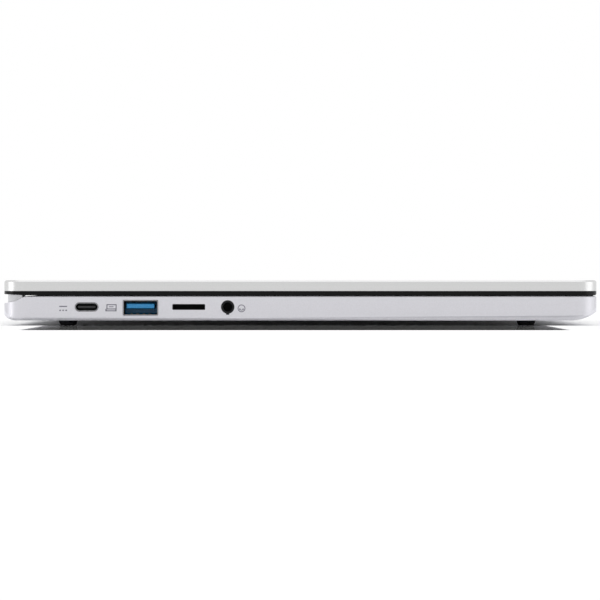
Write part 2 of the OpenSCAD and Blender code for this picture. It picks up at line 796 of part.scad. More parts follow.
module fan_housing() color("#2b2c30") {
    back = fin_y - fin_d / 2 - gap - fan_y;
    difference() {
        translate([fan_x, fan_y, z_pipe]) linear_extrude(fan_top - z_pipe) {
            circle(fan_ring + fan_wall);
            translate([-fan_ring - fan_wall, 0]) square([2 * (fan_ring + fan_wall), back]);
        }
        translate([fan_x, fan_y, z_pipe + fan_wall]) linear_extrude(fan_top - z_pipe - 2 * fan_wall) {
            circle(fan_ring);
            translate([-fan_ring, 0]) square([2 * fan_ring, back + 1]);
        }
        // Air inlets on both faces, the lower one crossed by the motor's spokes
        translate([fan_x, fan_y, z_pipe + fan_wall + 1]) cylinder(r = fan_eye_r, h = base_h);
        translate([fan_x, fan_y, z_pipe - 1]) difference() {
            cylinder(r = fan_eye_r, h = 1 + fan_wall);
            cylinder(r = fan_hub_r, h = 2 + fan_wall);
            for (a = [0, 120, 240]) rotate(a) translate([0, -1, 0]) cube([fan_r, 2, 2 + fan_wall]);
        }
        // The pipe passes under the outlet
        translate([fan_x, fin_y, z_pipe])
            cube([3 * fan_ring, pipe_w + 2 * gap, 2 * (pipe_t + gap)], center = true);
    }
    // Pin that the rotor turns on
    translate([fan_x, fan_y, z_pipe]) cylinder(r = fan_pin_r, h = fan_top - z_pipe - 0.4);
}

// One face of a swept blade, from the hub outwards, set back by off
function blade_face(off) = [for (s = [0:4])
    let (r = fan_hub_r - 0.5 + s * (fan_r - fan_hub_r + 0.5) / 4, a = blade_sweep * s / 4)
    r * [cos(a), sin(a)] + off * [-sin(a + 20), cos(a + 20)]];

// Rotor: a cup-shaped hub with a ring of swept blades
module fan_rotor() color("#1b1c1f") translate([fan_x, fan_y, 0]) {
    z0 = z_pipe + fan_wall + gap;
    z1 = fan_top - fan_wall - gap;
    difference() {
        union() {
            translate([0, 0, z0]) cylinder(r = fan_hub_r, h = z1 - z0);
            translate([0, 0, z0]) linear_extrude(z1 - z0) for (i = [0:fan_blades - 1])
                rotate(i * 360 / fan_blades)
                    polygon(concat(blade_face(0), [for (k = [4:-1:0]) blade_face(blade_t)[k]]));
        }
        translate([0, 0, z0 - 1]) cylinder(r = fan_pin_r + 0.05, h = base_h);
    }
}

module battery_pack() color("#1c1d20") {
    z1 = z_leaf - leaf_t - gap;
    cell_w = battery_w / 3;
    translate([-battery_w / 2, battery_front, z_in + gap]) difference() {
        cube([battery_w, battery_d, z1 - z_in - gap]);
        // Seams between the three cells
        for (i = [1, 2], z = [0, z1 - z_in - gap]) translate([i * cell_w, battery_d / 2, z])
            cube([1.2, battery_d + 2, 1], center = true);
    }
}

module speaker(side) color("#26272a")
    translate([side * speaker_x, battery_front, z_in + gap]) difference() {
        translate([-speaker_w / 2, 0, 0]) cube([speaker_w, speaker_d, z_roof - z_in - 2 * gap]);
        // Sound duct over the outlet
        translate([0, sound_y, 0])
            cube([2 * sound_n * sound_pitch + 4, sound_len + 1, 4], center = true);
        // Step that clears the corner boss
        translate([side * speaker_w / 2, 0, 0]) cube([6, 12, 2 * base_h], center = true);
    }

module left_speaker() speaker(-1);
module right_speaker() speaker(1);

module io_board() color("#1f5a3a") {
    difference() {
        translate([io_left, io_rear - io_d, z_board]) cube([io_w, io_d, board_t]);
        port_notches(1);
        pin_holes();
    }
    // Cable connector and two controllers
    board_parts([
        [io_left + 4, io_rear - io_d / 2, 4, 18, part_h],
        [io_left + 13, io_rear - 12, 6, 6, 0.8], [io_left + 13, io_rear - 36, 5, 5, 0.8]
    ]);
}

// ---------- ports ----------

// Round-ended metal sleeve, closed at its inner end
module usb_c_shell(side) color("#9b9ca0") translate([0, half_d - usb_c_y, z_port]) difference() {
    from_side(side, half_w - port_sink, port_len) slot_2d(usb_c_w - 0.2, usb_c_h - 0.2);
    from_side(side, half_w, port_open) slot_2d(usb_c_w - 0.2 - 2 * shell_t, usb_c_h - 0.2 - 2 * shell_t);
}

// Tongue on its moulded base, which fills the inner end of the sleeve
module usb_c_insert(side) color("#2c2d30") translate([0, half_d - usb_c_y, z_port]) {
    from_side(side, half_w - 0.9, port_open - 0.9) square([6.6, 0.7], center = true);
    from_side(side, half_w - port_open + 3, 3)
        slot_2d(usb_c_w - 0.3 - 2 * shell_t, usb_c_h - 0.3 - 2 * shell_t);
}

module usb_c_port() usb_c_shell(-1);
module usb_c_tongue() usb_c_insert(-1);

// The right-hand port is one piece with its tongue
module right_usb_c_port() {
    usb_c_shell(1);
    color("#2c2d30") translate([0, half_d - usb_c_y, z_port])
        from_side(1, half_w - 0.9, port_open) square([6.6, 0.7], center = true);
}

// Square metal sleeve, closed at its inner end
module usb_a_shell(side) color("#b4b5b8") translate([0, half_d - usb_a_y, z_port - large_drop]) difference() {
    from_side(side, half_w - 0.1, port_len) round_rect(usb_a_w, usb_a_h, 0.4);
    from_side(side, half_w, port_open) round_rect(usb_a_w - 2 * shell_t, usb_a_h - 2 * shell_t, 0.2);
}

// Tongue on its moulded base
module usb_a_blade(side) color("#1457c8") translate([0, half_d - usb_a_y, z_port - large_drop]) {
    translate([0, 0, large_drop + 0.35]) from_side(side, half_w - 1, port_open - 1)
        square([usb_a_w - 2.6, 1.8], center = true);
    from_side(side, half_w - port_open + 2, 2)
        square([usb_a_w - 2 * shell_t - 0.4, usb_a_h - 2 * shell_t - 0.4], center = true);
}

module usb_a_port() usb_a_shell(-1);
module usb_a_tongue() usb_a_blade(-1);
module right_usb_a_port() usb_a_shell(1);
module right_usb_a_tongue() usb_a_blade(1);

module card_reader() color("#a3a4a8") translate([0, half_d - card_y, z_port]) difference() {
    from_side(-1, half_w - wall - 0.1, port_len + 1) square([card_w + 2, card_h + 1.2], center = true);
    from_side(-1, half_w, port_len) square([card_w - 0.6, card_h - 0.6], center = true);
}

// Round collar with a key at its lowest point
module jack_collar_2d(less) {
    circle(jack_collar_r - less);
    translate([-jack_key / 2 + less, -jack_collar_r - jack_key_h + less])
        square([jack_key - 2 * less, jack_collar_r]);
}

module audio_jack() color("#17181a") translate([0, half_d - jack_y, z_port]) difference() {
    union() {
        from_side(-1, half_w - wall - 0.1, port_len) square([jack_w, jack_h], center = true);
        from_side(-1, half_w - 0.2, wall + 1) jack_collar_2d(0.1);
    }
    from_side(-1, half_w + 1, port_len) circle(jack_r);
}

// ---------- hinge ----------

// Base-side bracket: foot, neck and the barrel that grips the shaft
module hinge_brackets() color("#77797e") at_hinges() difference() {
    union() {
        translate([0, hinge_y, hinge_z]) along_x(barrel_len) circle(barrel_r);
        translate([0, hinge_y, (z_bracket + hinge_z - bore_r) / 2])
            cube([barrel_len, neck_t, hinge_z - bore_r - z_bracket], center = true);
        translate([-barrel_len / 2, bracket_screw_y - 3, z_bracket])
            cube([barrel_len, hinge_y + neck_t / 2 - bracket_screw_y + 3, bracket_t]);
    }
    translate([0, hinge_y, hinge_z]) along_x(barrel_len + 2) circle(bore_r);
    for (x = [-1, 1]) translate([x * bracket_screw_x, bracket_screw_y, z_bracket - 1])
        cylinder(r = screw_r + screw_fit, h = 3);
}

module hinge_screws() color("#8b8c90") at_hinges() for (x = [-1, 1])
    translate([x * bracket_screw_x, bracket_screw_y, z_bracket - screw_head_h])
        screw(screw_head_h + bracket_t + 2);

// Moulded cap over each barrel and its neck
module hinge_caps() color("#c9c8cd") at_hinges() difference() {
    union() {
        translate([0, hinge_y, hinge_z]) along_x(cap_len) circle(cap_r);
        translate([0, hinge_y, hinge_z - trough_r / 2])
            cube([cap_len, 2 * cap_r, trough_r + 1], center = true);
    }
    translate([0, hinge_y, hinge_z]) along_x(barrel_len + 0.2) circle(barrel_r + 0.1);
    translate([0, hinge_y, hinge_z]) along_x(cap_len + 2) circle(shaft_r + 0.2);
    translate([0, hinge_y, hinge_z - trough_r])
        cube([barrel_len + 0.2, 2 * barrel_r + 0.2, 2 * trough_r], center = true);
    // Seat on the trough
    translate([0, 0, 0.02]) along_x(cap_len + 2) below_deck(0);
}

// Lid-side arm: an eye on the shaft and a leaf that lies under the lid cover
module hinge_arms() color("#77797e") at_hinges() {
    difference() {
        union() {
            translate([eye_x + eye_len / 2, hinge_y, hinge_z]) along_x(eye_len) circle(eye_r);
            translate([eye_x, arm_front, z_arm]) cube([eye_len, hinge_y - arm_front, arm_t]);
            translate([eye_x - arm_len, arm_front, z_arm]) cube([arm_len + eye_len, arm_w, arm_t]);
        }
        translate([eye_x + eye_len / 2, hinge_y, hinge_z]) along_x(eye_len + 2) circle(shaft_r);
        for (x = rivet_spots) translate([x, arm_front + arm_w / 2, z_arm - 1])
            cylinder(r = rivet_r + 0.1, h = arm_t + 2);
    }
}

// Pins under the lid cover that the arms are riveted to
module rivets() at_hinges() for (x = rivet_spots)
    translate([x, arm_front + arm_w / 2, z_arm - 0.3]) cylinder(r = rivet_r, h = arm_t + 2);

module hinge_shafts() color("#a5a7ab") at_hinges()
    translate([(eye_x + eye_len - barrel_len / 2) / 2, hinge_y, hinge_z])
        along_x(eye_x + eye_len + barrel_len / 2) circle(shaft_r);

// ---------- lid ----------

// Notch in the lid's rear edge for a hinge, grown by edge
module notches_2d(edge) at_hinges()
    translate([-notch_w / 2 - edge, notch_y - edge]) square([notch_w + 2 * edge, half_d]);

module lid_cover() color("#cfcfce") difference() {
    hull() {
        translate([0, 0, z_cover]) linear_extrude(z_top - z_cover - lid_edge) base_outline();
        translate([0, 0, z_cover]) linear_extrude(z_top - z_cover)
            round_rect(body_w - 2 * lid_edge, body_d - 2 * lid_edge, corner_r - lid_edge);
    }
    difference() {
        translate([0, 0, z_cover - 1]) linear_extrude(z_top - lid_t - z_cover + 1) difference() {
            round_rect(body_w - 2 * lid_wall, body_d - 2 * lid_wall, corner_r - lid_wall);
            notches_2d(lid_wall);
        }
        rivets();
    }
    translate([0, 0, z_base]) linear_extrude(z_top) notches_2d(0);
    eye_pockets();
    shaft_holes();
}

// Room beside each notch for the hinge eye
module eye_pockets() at_hinges()
    translate([notch_w / 2 + lid_wall, hinge_y - eye_r - gap, hinge_z - eye_r - gap])
        cube([eye_len + 2 * eye_gap, 2 * eye_r + gap + 0.1, 2 * eye_r + gap + 0.1]);

// Clearance for the shafts through the notch walls
module shaft_holes() at_hinges() translate([notch_w / 2, hinge_y, hinge_z]) along_x(4) circle(shaft_r + 0.2);

module display_panel() color("#0c0d10") translate([0, panel_front, 0]) {
    translate([-panel_w / 2, 0, z_panel]) cube([panel_w, panel_d, panel_t]);
    // Driver board along the hinge edge
    translate([-strip_w / 2, panel_d - 1, z_cover + 0.5]) cube([strip_w, strip_d + 1, 0.8]);
}

module screen_bezel() color("#141416") difference() {
    translate([0, 0, z_bezel]) linear_extrude(bezel_h) difference() {
        base_outline();
        notches_2d(0);
    }
    // Picture opening
    translate([0, -half_d + screen_from_front + screen_d / 2, z_bezel - 1])
        linear_extrude(bezel_h + 2) square([screen_w + 1, screen_d + 1], center = true);
    // Step behind the frame for the panel
    translate([0, panel_front + panel_d / 2, z_panel - 0.1])
        linear_extrude(bezel_h) square([panel_w + 0.4, panel_d + 0.4], center = true);
    // Lower edges: rising at the hinge, chamfered at the front
    along_x(body_w + 2) {
        polygon([
            [half_d - bezel_rise_len, z_bezel], [half_d - bezel_rise_len, z_bezel - 1],
            [half_d + 1, z_bezel - 1], [half_d + 1, z_bezel + bezel_rise * (1 + 1 / bezel_rise_len)]
        ]);
        polygon([
            [-half_d + bezel_edge + 1, z_bezel - 1], [-half_d - 1, z_bezel - 1],
            [-half_d - 1, z_bezel + bezel_edge + 1]
        ]);
    }
    eye_pockets();
    shaft_holes();
    // Camera hole and the track of its shutter
    translate([0, shutter_y, z_bezel - 1]) cylinder(r = lens_r, h = bezel_h + 2);
    translate([shutter_travel / 2, shutter_y, z_bezel])
        cube([shutter_w + shutter_travel + 0.4, shutter_d + 0.3, 2 * (shutter_t + 0.1)], center = true);
}

module webcam_shutter() color("#1d1e21") translate([0, shutter_y, z_bezel + shutter_t / 2]) difference() {
    cube([shutter_w, shutter_d, shutter_t], center = true);
    // Peep hole, over the lens while the shutter is open
    cylinder(r = lens_r, h = 2, center = true);
    // Finger ribs
    for (x = [2.4, 3, 3.6]) translate([x, 0, -shutter_t / 2])
        cube([0.25, shutter_d - 0.6, 0.3], center = true);
}

module webcam_module() color("#202226") {
    z_lens = z_bezel + shutter_t + 0.3;
    translate([0, shutter_y, z_cover + 1]) cube([42, 3, 1.6], center = true);
    translate([0, shutter_y, z_lens]) cylinder(r = lens_r - 0.1, h = z_cover + 1 - z_lens);
}

// Soft strip round three sides of the bezel that the lid closes on
module lid_seal() color("#1a1a1b") {
    in = 1.2;
    strip = 1.4;
    translate([0, 0, z_deck + 0.05]) linear_extrude(lid_gap - 0.05) difference() {
        round_rect(body_w - 2 * in, body_d - 2 * in, corner_r - in);
        round_rect(body_w - 2 * (in + strip), body_d - 2 * (in + strip), corner_r - in - strip);
        translate([0, half_d]) square([body_w, 2 * (tail_len + 8)], center = true);
    }
}

module antennas() color("#b08d4a") for (x = [-1, 1])
    translate([x * 100, -half_d + lid_wall + 0.35, (z_cover + z_top - lid_t) / 2])
        cube([48, 0.5, z_top - lid_t - z_cover - 0.4], center = true);

// ---------- pieces, by name ----------

top_case();
bottom_cover();
bottom_screws();
front_feet();
rear_feet();
keyboard_plate();
key_domes();
function_keys();
power_key();
number_keys();
backspace_key();
tab_key();
upper_letter_keys();
caps_key();
home_letter_keys();
enter_key();
left_shift_key();
lower_letter_keys();
right_shift_key();
modifier_keys();
space_bar();
arrow_keys();
touchpad();
touchpad_bracket();
touchpad_switch();
mainboard();
processor();
memory_chips();
cold_plate();
heat_pipe();
fin_stack();
fan_housing();
fan_rotor();
battery_pack();
left_speaker();
right_speaker();
solid_state_drive();
wireless_card();
io_board();
usb_c_port();
usb_c_tongue();
usb_a_port();
usb_a_tongue();
card_reader();
audio_jack();
right_usb_c_port();
right_usb_a_port();
right_usb_a_tongue();
hinge_brackets();
hinge_caps();
hinge_screws();
hinge_arms();
hinge_shafts();
lid_cover();
display_panel();
screen_bezel();
lid_seal();
webcam_module();
webcam_shutter();
antennas();
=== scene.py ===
"""Looks for a thin silver laptop computer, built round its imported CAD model.

Units are metres, as in the CAD frame: +X to the user's right, +Y to the hinge edge, +Z up.
Sizes that belong to the finish are written in millimetres and turned with MM.
"""

import json
import math

import bmesh
import bpy
from mathutils import Matrix, Vector


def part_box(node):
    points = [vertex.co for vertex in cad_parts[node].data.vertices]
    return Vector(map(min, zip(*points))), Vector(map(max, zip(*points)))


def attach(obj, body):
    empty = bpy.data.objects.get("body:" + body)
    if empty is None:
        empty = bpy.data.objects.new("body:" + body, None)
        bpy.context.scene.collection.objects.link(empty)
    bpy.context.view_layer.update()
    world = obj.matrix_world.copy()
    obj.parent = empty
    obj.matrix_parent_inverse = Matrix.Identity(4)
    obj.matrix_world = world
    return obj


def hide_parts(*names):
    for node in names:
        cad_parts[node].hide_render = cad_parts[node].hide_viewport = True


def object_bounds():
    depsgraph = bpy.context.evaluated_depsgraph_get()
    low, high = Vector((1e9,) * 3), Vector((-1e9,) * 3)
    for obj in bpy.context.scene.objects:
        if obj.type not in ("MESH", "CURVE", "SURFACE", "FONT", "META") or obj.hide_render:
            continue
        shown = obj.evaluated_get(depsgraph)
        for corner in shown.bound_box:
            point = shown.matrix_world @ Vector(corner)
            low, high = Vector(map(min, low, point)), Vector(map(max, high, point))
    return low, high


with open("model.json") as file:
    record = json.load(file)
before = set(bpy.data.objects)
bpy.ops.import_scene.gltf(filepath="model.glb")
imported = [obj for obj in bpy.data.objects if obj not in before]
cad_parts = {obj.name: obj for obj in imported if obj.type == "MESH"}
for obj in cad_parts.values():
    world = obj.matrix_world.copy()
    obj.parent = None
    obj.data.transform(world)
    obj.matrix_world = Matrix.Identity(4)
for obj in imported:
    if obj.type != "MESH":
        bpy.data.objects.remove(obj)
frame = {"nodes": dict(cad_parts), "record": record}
cad_low, cad_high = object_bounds()

# ---------- sizes and names that everything shares ----------

MM = 0.001
WELD = 0.002 * MM          # corners nearer than this become one
FLAT_WITHIN = 0.5          # faces that turn less than this many degrees become one
SHARP_ABOVE = 35           # edges that turn more than this many degrees stay sharp
LARGE_FACES_FIRST = 80     # how far large faces decide the shading of their corners

NODES = frame["nodes"]
BODY_OF = {n: b for b, names in frame["record"]["behaviour"]["bodies"].items() for n in names}
LEFT = cad_low.x
RIGHT = cad_high.x
REAR = cad_high.y

# The height that the printed signs are placed from, just under the middle of the audio jack
SIGN_DROP = 0.1 * MM
PORT_Z = sum(corner.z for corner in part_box("audio_jack")) / 2 - SIGN_DROP


# ---------- camera and lamps ----------

# The render is 600 pixels wide, and one pixel of it is this much on the left side of the machine
PIXEL = 0.3770 * MM
PICTURE = 600
STAND_ROW = 325.8          # the row where the floor passes under the left side
CAMERA_DISTANCE = 2.2
CAMERA_HEIGHT = 17.4 * MM
CAMERA_ASIDE = 0.15 * MM
SENSOR = 36.0
NEAR_CLIP, FAR_CLIP = 0.05, 50


def aim_camera():
    """Level with the lid, looking at the left side from far away through a long lens."""
    data = bpy.data.cameras.new("camera")
    data.sensor_width = SENSOR
    data.lens = SENSOR * CAMERA_DISTANCE / (PICTURE * PIXEL)
    data.clip_start, data.clip_end = NEAR_CLIP, FAR_CLIP
    made = bpy.data.objects.new("camera", data)
    bpy.context.scene.collection.objects.link(made)
    target = Vector((LEFT, CAMERA_ASIDE, (STAND_ROW - PICTURE / 2) * PIXEL))
    made.location = (LEFT - CAMERA_DISTANCE, target.y, CAMERA_HEIGHT)
    made.rotation_euler = (target - made.location).to_track_quat("-Z", "Y").to_euler()
    bpy.context.scene.camera = made


def lamp(name, place, target, size, power):
    """A soft rectangular studio lamp that points at a target."""
    data = bpy.data.lights.new(name, "AREA")
    data.shape = "RECTANGLE"
    data.size, data.size_y = size
    data.energy = power
    made = bpy.data.objects.new(name, data)
    bpy.context.scene.collection.objects.link(made)
    made.location = place
    made.rotation_euler = (Vector(target) - Vector(place)).to_track_quat("-Z", "Y").to_euler()


# ---------- working with pieces ----------

def only(piece):
    """Leaves this piece as the one that operators act on."""
    bpy.ops.object.select_all(action="DESELECT")
    piece.select_set(True)
    bpy.context.view_layer.objects.active = piece


def settle(piece, name):
    """Puts the piece's place and size into its mesh and names it."""
    only(piece)
    bpy.ops.object.transform_apply(location=True, rotation=True, scale=True)
    piece.name = name
    piece.data.name = name
    return piece


def block(name, low, high):
    """A box between two corners."""
    low, high = Vector(low), Vector(high)
    bpy.ops.object.select_all(action="DESELECT")
    bpy.ops.mesh.primitive_cube_add(size=1, location=(low + high) / 2)
    piece = bpy.context.active_object
    piece.scale = high - low
    return settle(piece, name)


def pick(piece, kind, test):
    """Goes into edit mode and selects the faces or edges that pass the test."""
    only(piece)
    bpy.ops.object.mode_set(mode="EDIT")
    bpy.ops.mesh.select_mode(type=kind)
    bpy.ops.mesh.select_all(action="DESELECT")
    mesh = bmesh.from_edit_mesh(piece.data)
    for part in {"FACE": mesh.faces, "EDGE": mesh.edges}[kind]:
        if test(part):
            part.select_set(True)
    bmesh.update_edit_mesh(piece.data)


def leave_edit():
    """Goes back to working on whole pieces."""
    bpy.ops.object.mode_set(mode="OBJECT")


def modify(piece, kind, **settings):
    """Adds a modifier and applies it."""
    only(piece)
    made = piece.modifiers.new(kind.title(), kind)
    for key, value in settings.items():
        setattr(made, key, value)
    bpy.ops.object.modifier_apply(modifier=made.name)


def smooth(piece, angle):
    """Shades rounded faces smooth and keeps the large flat faces flat."""
    only(piece)
    bpy.ops.object.shade_smooth_by_angle(angle=math.radians(angle))
    modify(piece, "WEIGHTED_NORMAL", keep_sharp=True, weight=LARGE_FACES_FIRST)


def soft_edges(piece, width, segments=2, angle=SHARP_ABOVE):
    """Rounds every sharp edge a little, as tooling and finishing leave it."""
    modify(piece, "BEVEL", width=width, segments=segments, limit_method="ANGLE",
           angle_limit=math.radians(angle), use_clamp_overlap=True)
    smooth(piece, angle)


def join(pieces, name):
    """Makes one piece of several."""
    bpy.ops.object.select_all(action="DESELECT")
    for piece in pieces:
        piece.select_set(True)
    bpy.context.view_layer.objects.active = pieces[0]
    bpy.ops.object.join()
    return settle(pieces[0], name)


def copy_node(node):
    """A clean copy of a CAD node's mesh, merged and with its flat faces joined."""
    piece = bpy.data.objects.new(node + "_finished", NODES[node].data.copy())
    bpy.context.scene.collection.objects.link(piece)
    piece.data.materials.clear()
    only(piece)
    bpy.ops.object.mode_set(mode="EDIT")
    bpy.ops.mesh.select_all(action="SELECT")
    bpy.ops.mesh.remove_doubles(threshold=WELD)
    bpy.ops.mesh.dissolve_limited(angle_limit=math.radians(FLAT_WITHIN))
    leave_edit()
    return piece


def ride_as(piece, node, material):
    """The piece rides where the node rides; the node stays in view."""
    piece.data.materials.clear()
    piece.data.materials.append(material)
    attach(piece, BODY_OF[node])


def stand_for(piece, node, material):
    """The piece takes the node's place, body and finish."""
    ride_as(piece, node, material)
    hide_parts(node)
    return piece


def second_finish(piece, material, test):
    """Gives the faces that pass the test another finish."""
    piece.data.materials.append(material)
    pick(piece, "FACE", test)
    piece.active_material_index = len(piece.data.materials) - 1
    bpy.ops.object.material_slot_assign()
    leave_edit()


def deeper_than(depth):
    """A test for faces that lie further inside the machine than depth, from either side."""
    return lambda face: LEFT + depth < face.calc_center_median().x < RIGHT - depth


# ---------- materials ----------

def linear(hex_colour):
    """An sRGB hex colour as the linear values that Blender uses, fully opaque."""
    channels = [int(hex_colour[i:i + 2], 16) / 255 for i in (1, 3, 5)]
    return [c / 12.92 if c <= 0.04045 else ((c + 0.055) / 1.055) ** 2.4 for c in channels] + [1.0]


def add(tree, kind, inputs=None, **settings):
    """Adds a node with its settings, and sets or links its inputs."""
    made = tree.nodes.new(kind)
    for key, value in settings.items():
        setattr(made, key, value)
    for key, value in (inputs or {}).items():
        if isinstance(value, bpy.types.NodeSocket):
            tree.links.new(value, made.inputs[key])
        else:
            made.inputs[key].default_value = value
    return made


def surface(name, **shader):
    """A new material and its Principled shader with plain values set."""
    made = bpy.data.materials.new(name)
    made.use_nodes = True
    tree = made.node_tree
    tree.nodes.clear()
    values = {key.replace("_", " "): value for key, value in shader.items()}
    main = add(tree, "ShaderNodeBsdfPrincipled", values)
    add(tree, "ShaderNodeOutputMaterial", {"Surface": main.outputs["BSDF"]})
    return made, tree, main


# Between these two heights of the noise, a grain's first colour turns into its second
RAMP_STOPS = (0.3, 0.7)

# Rolled sheet: the noise is stretched twenty times along the rolling
ROLLED_STRETCH = 0.05


def grain(tree, main, size, depth, low, high, colours, detail=2.0):
    """Grain: bump, roughness and colour follow one noise.

    Size and depth are lengths, low and high are the bounds of the roughness. In life the grain of
    blasting, spark erosion, film and ink is finer than 0.1 mm, too fine to show, so it is drawn
    coarser, from 0.12 mm up.
    """
    place = add(tree, "ShaderNodeTexCoord")
    noise = add(tree, "ShaderNodeTexNoise",
                {"Vector": place.outputs["Object"], "Scale": 1 / size, "Detail": detail})
    height = noise.outputs["Fac"]
    bump = add(tree, "ShaderNodeBump", {"Height": height, "Distance": depth, "Strength": 1.0})
    rough = add(tree, "ShaderNodeMapRange", {"Value": height, "To Min": low, "To Max": high})
    ramp = add(tree, "ShaderNodeValToRGB", {"Fac": height})
    for stop, position, colour in zip(ramp.color_ramp.elements, RAMP_STOPS, colours):
        stop.position = position
        stop.color = linear(colour)
    tree.links.new(bump.outputs["Normal"], main.inputs["Normal"])
    tree.links.new(rough.outputs["Result"], main.inputs["Roughness"])
    tree.links.new(ramp.outputs["Color"], main.inputs["Base Color"])
    return noise


def anodised_aluminium():
    """Bead-blasted aluminium sheet, clear anodised: an even, soft metal grey with no streaks."""
    made, tree, main = surface("aluminium_bead_blasted_anodised", Metallic=0.9)
    grain(tree, main, 0.35 * MM, 0.004 * MM, 0.3, 0.38, ("#cdcdcd", "#d5d5d5"))
    return made


def silver_paint():
    """Silver paint on plastic: metal flakes under a thin satin coat, cooler than the lid."""
    made, tree, main = surface("abs_moulded_silver_painted",
                               Metallic=0.6, Coat_Weight=0.1, Coat_Roughness=0.3)
    grain(tree, main, 0.3 * MM, 0.003 * MM, 0.4, 0.48, ("#cfced3", "#d7d6dc"))
    return made


def polished_zinc():
    """Die-cast zinc hinge caps, polished and satin-chromed: they mirror the light round them."""
    made, tree, main = surface("zinc_die_cast_chromed", Metallic=1.0)
    grain(tree, main, 0.8 * MM, 0.0005 * MM, 0.16, 0.22, ("#dddde0", "#e4e4e7"))
    return made


def textured_paint():
    """Silver paint over a spark-eroded texture, as the under-cover has: duller than the top."""
    made, tree, main = surface("abs_moulded_silver_textured", Metallic=0.3)
    grain(tree, main, 0.5 * MM, 0.012 * MM, 0.55, 0.65, ("#dcdbe1", "#e7e6ec"))
    return made


def black_frame():
    """Black polycarbonate frame, moulded with a satin skin that picks up soft highlights."""
    made, tree, main = surface("polycarbonate_moulded_black", Specular_IOR_Level=0.12)
    grain(tree, main, 0.4 * MM, 0.003 * MM, 0.24, 0.32, ("#060606", "#0a0a0a"))
    return made


def rubber():
    """Moulded rubber: dull charcoal, nearly no shine."""
    made, tree, main = surface("rubber_moulded_charcoal", Specular_IOR_Level=0.3)
    grain(tree, main, 0.5 * MM, 0.012 * MM, 0.55, 0.72, ("#161618", "#222225"))
    return made


def key_plastic():
    """Key caps of ABS, moulded and painted silver grey, satin under the fingers."""
    made, tree, main = surface("abs_moulded_key_grey", Metallic=0.25)
    grain(tree, main, 0.3 * MM, 0.006 * MM, 0.42, 0.52, ("#b9bac0", "#c4c5ca"))
    return made


def pad_film():
    """Touchpad: a polyester film with a silky, even surface."""
    made, tree, main = surface("polyester_film_silky_grey", Metallic=0.3)
    grain(tree, main, 0.25 * MM, 0.003 * MM, 0.3, 0.36, ("#bcbdc2", "#c3c4c9"))
    return made


def stamped_steel():
    """Steel sheet, zinc plated and stamped: the rolling left fine lines all one way."""
    made, tree, main = surface("steel_stamped_zinc_plated", Metallic=1.0)
    noise = grain(tree, main, 0.8 * MM, 0.003 * MM, 0.28, 0.42, ("#8f9094", "#a5a6aa"))
    place = add(tree, "ShaderNodeTexCoord")
    lines = add(tree, "ShaderNodeMapping",
                {"Vector": place.outputs["Object"], "Scale": (ROLLED_STRETCH, 1, 1)})
    tree.links.new(lines.outputs["Vector"], noise.inputs["Vector"])
    return made


def port_steel():
    """Deep-drawn stainless steel of a socket's shell, nickel plated: bright but soft."""
    made, tree, main = surface("stainless_drawn_nickel_plated", Metallic=1.0)
    grain(tree, main, 0.5 * MM, 0.003 * MM, 0.22, 0.34, ("#8d8d90", "#a2a2a5"))
    return made


def painted_socket_shade():
    """Painted shade inside a socket: the steel shell is painted nearly black past its bright rim,
    so that the opening reads as deep.
    """
    made, tree, main = surface("stainless_drawn_painted_shade", Metallic=0.6)
    grain(tree, main, 0.5 * MM, 0.003 * MM, 0.35, 0.5, ("#08080a", "#101015"))
    return made


def black_resin():
    """Black LCP resin of connectors: matt, with a trace of glass fibre."""
    made, tree, main = surface("lcp_moulded_black", Specular_IOR_Level=0.3)
    grain(tree, main, 0.2 * MM, 0.006 * MM, 0.42, 0.6, ("#0b0b0d", "#161618"))
    return made


def grey_resin():
    """Charcoal LCP resin of the small tongue, a shade lighter than its housing."""
    made, tree, main = surface("lcp_moulded_charcoal")
    grain(tree, main, 0.2 * MM, 0.006 * MM, 0.4, 0.5, ("#1e1e20", "#29292c"))
    return made


def blue_resin():
    """Blue PBT tongue of the fast socket, moulded, slightly glossy."""
    made, tree, main = surface("pbt_moulded_blue")
    grain(tree, main, 0.5 * MM, 0.004 * MM, 0.3, 0.4, ("#1272a8", "#2a8cc4"))
    return made


def screen_glass():
    """Switched-off panel behind an anti-glare film: near black with a soft, blurred reflection."""
    made, tree, main = surface("lcd_antiglare_film_off", Specular_IOR_Level=0.25)
    grain(tree, main, 0.12 * MM, 0.001 * MM, 0.2, 0.26, ("#08090b", "#0b0c0f"))
    return made


def copper():
    """Drawn copper, lightly tarnished by handling."""
    made, tree, main = surface("copper_drawn_tarnished", Metallic=1.0)
    grain(tree, main, 4 * MM, 0.01 * MM, 0.25, 0.42, ("#b8693c", "#d08a58"))
    return made


def solder_mask(name, dark, light):
    """Circuit board under glossy lacquer, with paler copper tracks.

    Real tracks are 0.1 mm wide and too fine to show, so they are drawn wider and about 3 mm apart.
    """
    pitch = 3 * MM
    half_width = 0.06      # of a track, as a share of the pitch
    made, tree, main = surface(name, Coat_Weight=0.4, Coat_Roughness=0.15)
    noise = grain(tree, main, pitch, 0.006 * MM, 0.3, 0.45, (dark, light), 4.0)
    place = add(tree, "ShaderNodeTexCoord")
    cells = add(tree, "ShaderNodeTexVoronoi",
                {"Vector": place.outputs["Object"], "Scale": 1 / pitch},
                feature="DISTANCE_TO_EDGE", distance="MANHATTAN")
    track = add(tree, "ShaderNodeMath", {0: cells.outputs["Distance"], 1: half_width},
                operation="LESS_THAN")
    both = add(tree, "ShaderNodeMath", {0: noise.outputs["Fac"], 1: track.outputs[0]},
               operation="ADD")
    tree.links.new(both.outputs[0], main.inputs["Base Color"].links[0].from_node.inputs["Fac"])
    return made


def epoxy_black():
    """Moulded epoxy of chips, fans and speakers: flat black with a fine spark-eroded grain."""
    made, tree, main = surface("epoxy_moulded_black")
    grain(tree, main, 0.3 * MM, 0.01 * MM, 0.5, 0.65, ("#131315", "#1f1f22"))
    return made


